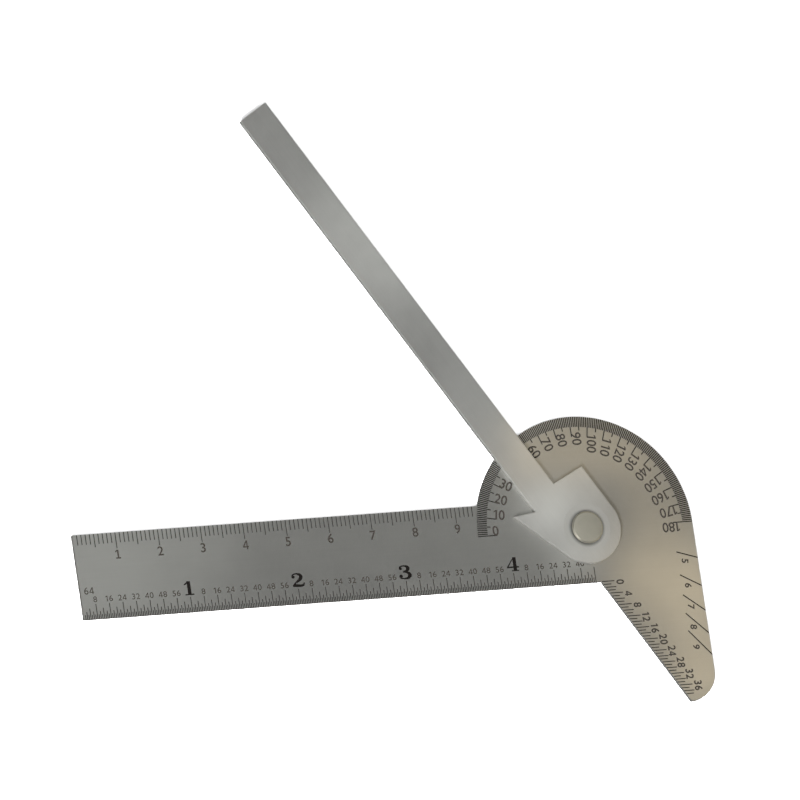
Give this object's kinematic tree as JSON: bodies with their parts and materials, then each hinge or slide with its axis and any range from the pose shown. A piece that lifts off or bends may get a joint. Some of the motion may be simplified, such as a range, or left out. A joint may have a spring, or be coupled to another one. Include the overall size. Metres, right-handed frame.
{
  "type": "angle gauge",
  "caption": "Flat steel pocket gauge: a short rule with a half-round protractor and a drill-point leg in one plate, and a riveted swinging arm that reads the angle.",
  "frame": {"origin": "where the arm's pivot axis meets the plane of the plate's flat back face", "axes": "+X runs along the rule from its free end to the pivot and on to the leg, +Y from the rule's inch edge to its millimetre edge, +Z out of the graduated face; the back lies on Z = 0"},
  "size_m": [0.1454, 0.1411, 0.0028],
  "materials": {
    "plate_steel": "satin stainless, etched and blackened graduations",
    "arm_steel": "satin stainless",
    "rivet_steel": "smooth turned face",
    "spring_steel": "hardened spring steel"
  },
  "bodies": {
    "gauge": {"rule_plate": "plate_steel", "pivot_rivet": "rivet_steel", "disc_spring": "spring_steel"},
    "arm": {"swing_arm": "arm_steel"}
  },
  "joints": [
    {"name": "arm_pivot", "type": "hinge", "parent": "gauge", "child": "arm", "pos_m": [0, 0, 0.00155], "axis": [0, 0, -1], "continuous": true}
  ]
}
